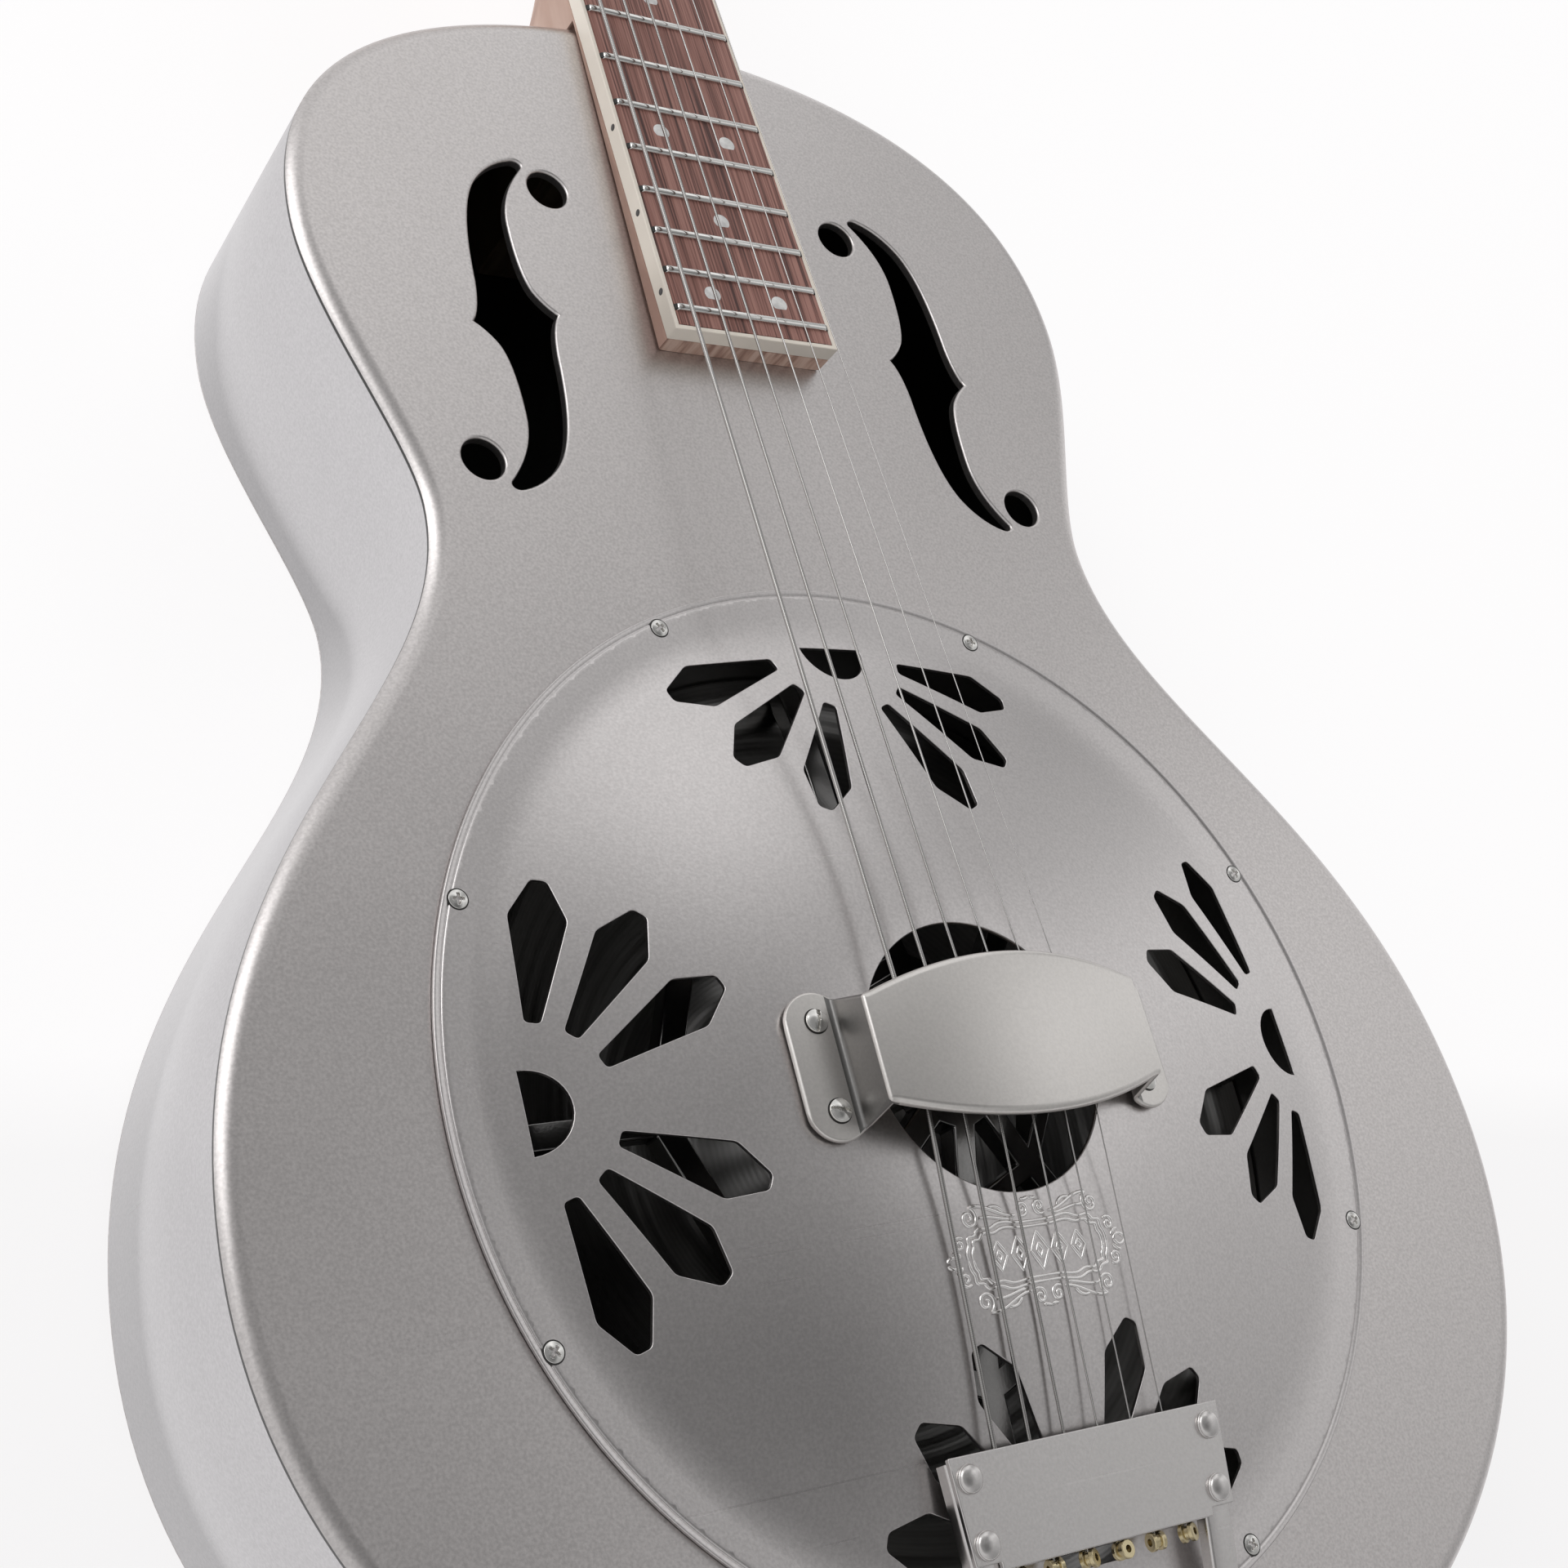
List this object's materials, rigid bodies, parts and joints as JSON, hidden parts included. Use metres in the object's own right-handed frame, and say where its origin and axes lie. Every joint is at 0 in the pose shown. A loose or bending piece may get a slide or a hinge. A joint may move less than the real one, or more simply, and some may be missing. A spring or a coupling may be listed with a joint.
{
  "type": "resonator guitar",
  "caption": "Metal-bodied guitar with f-holes, a perforated domed coverplate over a spun cone and spider, an arched palm rest, a tailpiece, a bound fretted neck and geared tuners.",
  "frame": {"origin": "on the outside of the flat back, straight below the middle of the resonator cone", "axes": "+Y runs up the neck, +Z comes out of the top, +X is the treble side"},
  "size_m": [0.37, 0.9921, 0.1092],
  "materials": {
    "body_nickel": "satin warm nickel plate with a fine grain and faint scratches",
    "cover_nickel": "satin warm nickel plate with a fine grain, brighter along its edges",
    "polished_nickel": "polished nickel plate",
    "dark_nickel": "dull plate seen only through the openings",
    "cast_aluminium": "cast bridge spider, dull with bright edges",
    "spun_aluminium": "spun, with fine turned rings",
    "string_steel": "plain and wound steel strings",
    "rosewood": "satin reddish brown with dark streaks",
    "mahogany": "satin pinkish brown",
    "maple": "plain unfinished hardwood",
    "cream_binding": "glossy cream",
    "bone": "satin off-white",
    "black_plastic": "glossy black"
  },
  "bodies": {
    "guitar": {"body_back": "body_nickel", "body_sides": "body_nickel", "body_top": "body_nickel", "coverplate": "cover_nickel", "coverplate_screw_1": "polished_nickel", "coverplate_screw_2": "polished_nickel", "coverplate_screw_3": "polished_nickel", "coverplate_screw_4": "polished_nickel", "coverplate_screw_5": "polished_nickel", "coverplate_screw_6": "polished_nickel", "coverplate_screw_7": "polished_nickel", "coverplate_screw_8": "polished_nickel", "fingerboard": "rosewood", "fingerboard_binding": "cream_binding", "headstock": "mahogany", "machine_plate_bass": "polished_nickel", "machine_plate_treble": "polished_nickel", "neck": "mahogany", "neck_block": "maple", "nut": "bone", "palm_rest": "cover_nickel", "palm_screw_bass_neck": "polished_nickel", "palm_screw_bass_tail": "polished_nickel", "palm_screw_treble_neck": "polished_nickel", "palm_screw_treble_tail": "polished_nickel", "resonator_cone": "spun_aluminium", "saddle_bass": "maple", "saddle_treble": "maple", "sound_well": "dark_nickel", "spider": "cast_aluminium", "strap_button": "polished_nickel", "string_1": "string_steel", "string_2": "string_steel", "string_3": "string_steel", "string_4": "string_steel", "string_5": "string_steel", "string_6": "string_steel", "tail_block": "maple", "tailpiece_cross_plate": "cover_nickel", "tailpiece_frame": "cover_nickel", "tailpiece_rivet_bass_front": "polished_nickel", "tailpiece_rivet_bass_rear": "polished_nickel", "tailpiece_rivet_treble_front": "polished_nickel", "tailpiece_rivet_treble_rear": "polished_nickel", "tension_screw": "polished_nickel", "truss_rod_cover": "black_plastic"},
    "post_1": {"post_1": "polished_nickel"},
    "post_2": {"post_2": "polished_nickel"},
    "post_3": {"post_3": "polished_nickel"},
    "post_4": {"post_4": "polished_nickel"},
    "post_5": {"post_5": "polished_nickel"},
    "post_6": {"post_6": "polished_nickel"},
    "worm_1": {"worm_1": "polished_nickel"},
    "worm_2": {"worm_2": "polished_nickel"},
    "worm_3": {"worm_3": "polished_nickel"},
    "worm_4": {"worm_4": "polished_nickel"},
    "worm_5": {"worm_5": "polished_nickel"},
    "worm_6": {"worm_6": "polished_nickel"}
  },
  "joints": [
    {"name": "tuner_6_button", "type": "hinge", "parent": "guitar", "child": "worm_6", "pos_m": [-0.02, 0.68051, 0.03733], "axis": [1, 0, 0], "continuous": true},
    {"name": "tuner_6_post", "type": "hinge", "parent": "guitar", "child": "post_6", "pos_m": [-0.02, 0.67408, 0.03905], "axis": [0, 0.2588, 0.9659], "continuous": true},
    {"name": "tuner_5_button", "type": "hinge", "parent": "guitar", "child": "worm_5", "pos_m": [-0.022, 0.71722, 0.02749], "axis": [1, 0, 0], "continuous": true},
    {"name": "tuner_5_post", "type": "hinge", "parent": "guitar", "child": "post_5", "pos_m": [-0.022, 0.71079, 0.02922], "axis": [0, 0.2588, 0.9659], "continuous": true},
    {"name": "tuner_4_button", "type": "hinge", "parent": "guitar", "child": "worm_4", "pos_m": [-0.024, 0.75392, 0.01766], "axis": [1, 0, 0], "continuous": true},
    {"name": "tuner_4_post", "type": "hinge", "parent": "guitar", "child": "post_4", "pos_m": [-0.024, 0.74749, 0.01938], "axis": [0, 0.2588, 0.9659], "continuous": true},
    {"name": "tuner_3_button", "type": "hinge", "parent": "guitar", "child": "worm_3", "pos_m": [0.024, 0.75392, 0.01766], "axis": [1, 0, 0], "continuous": true},
    {"name": "tuner_3_post", "type": "hinge", "parent": "guitar", "child": "post_3", "pos_m": [0.024, 0.74749, 0.01938], "axis": [0, 0.2588, 0.9659], "continuous": true},
    {"name": "tuner_2_button", "type": "hinge", "parent": "guitar", "child": "worm_2", "pos_m": [0.022, 0.71722, 0.02749], "axis": [1, 0, 0], "continuous": true},
    {"name": "tuner_2_post", "type": "hinge", "parent": "guitar", "child": "post_2", "pos_m": [0.022, 0.71079, 0.02922], "axis": [0, 0.2588, 0.9659], "continuous": true},
    {"name": "tuner_1_button", "type": "hinge", "parent": "guitar", "child": "worm_1", "pos_m": [0.02, 0.68051, 0.03733], "axis": [1, 0, 0], "continuous": true},
    {"name": "tuner_1_post", "type": "hinge", "parent": "guitar", "child": "post_1", "pos_m": [0.02, 0.67408, 0.03905], "axis": [0, 0.2588, 0.9659], "continuous": true}
  ],
  "couplings": [
    {"joint": "tuner_6_post", "follows": "tuner_6_button", "ratio": -0.071429},
    {"joint": "tuner_5_post", "follows": "tuner_5_button", "ratio": -0.071429},
    {"joint": "tuner_4_post", "follows": "tuner_4_button", "ratio": -0.071429},
    {"joint": "tuner_3_post", "follows": "tuner_3_button", "ratio": 0.071429},
    {"joint": "tuner_2_post", "follows": "tuner_2_button", "ratio": 0.071429},
    {"joint": "tuner_1_post", "follows": "tuner_1_button", "ratio": 0.071429}
  ]
}
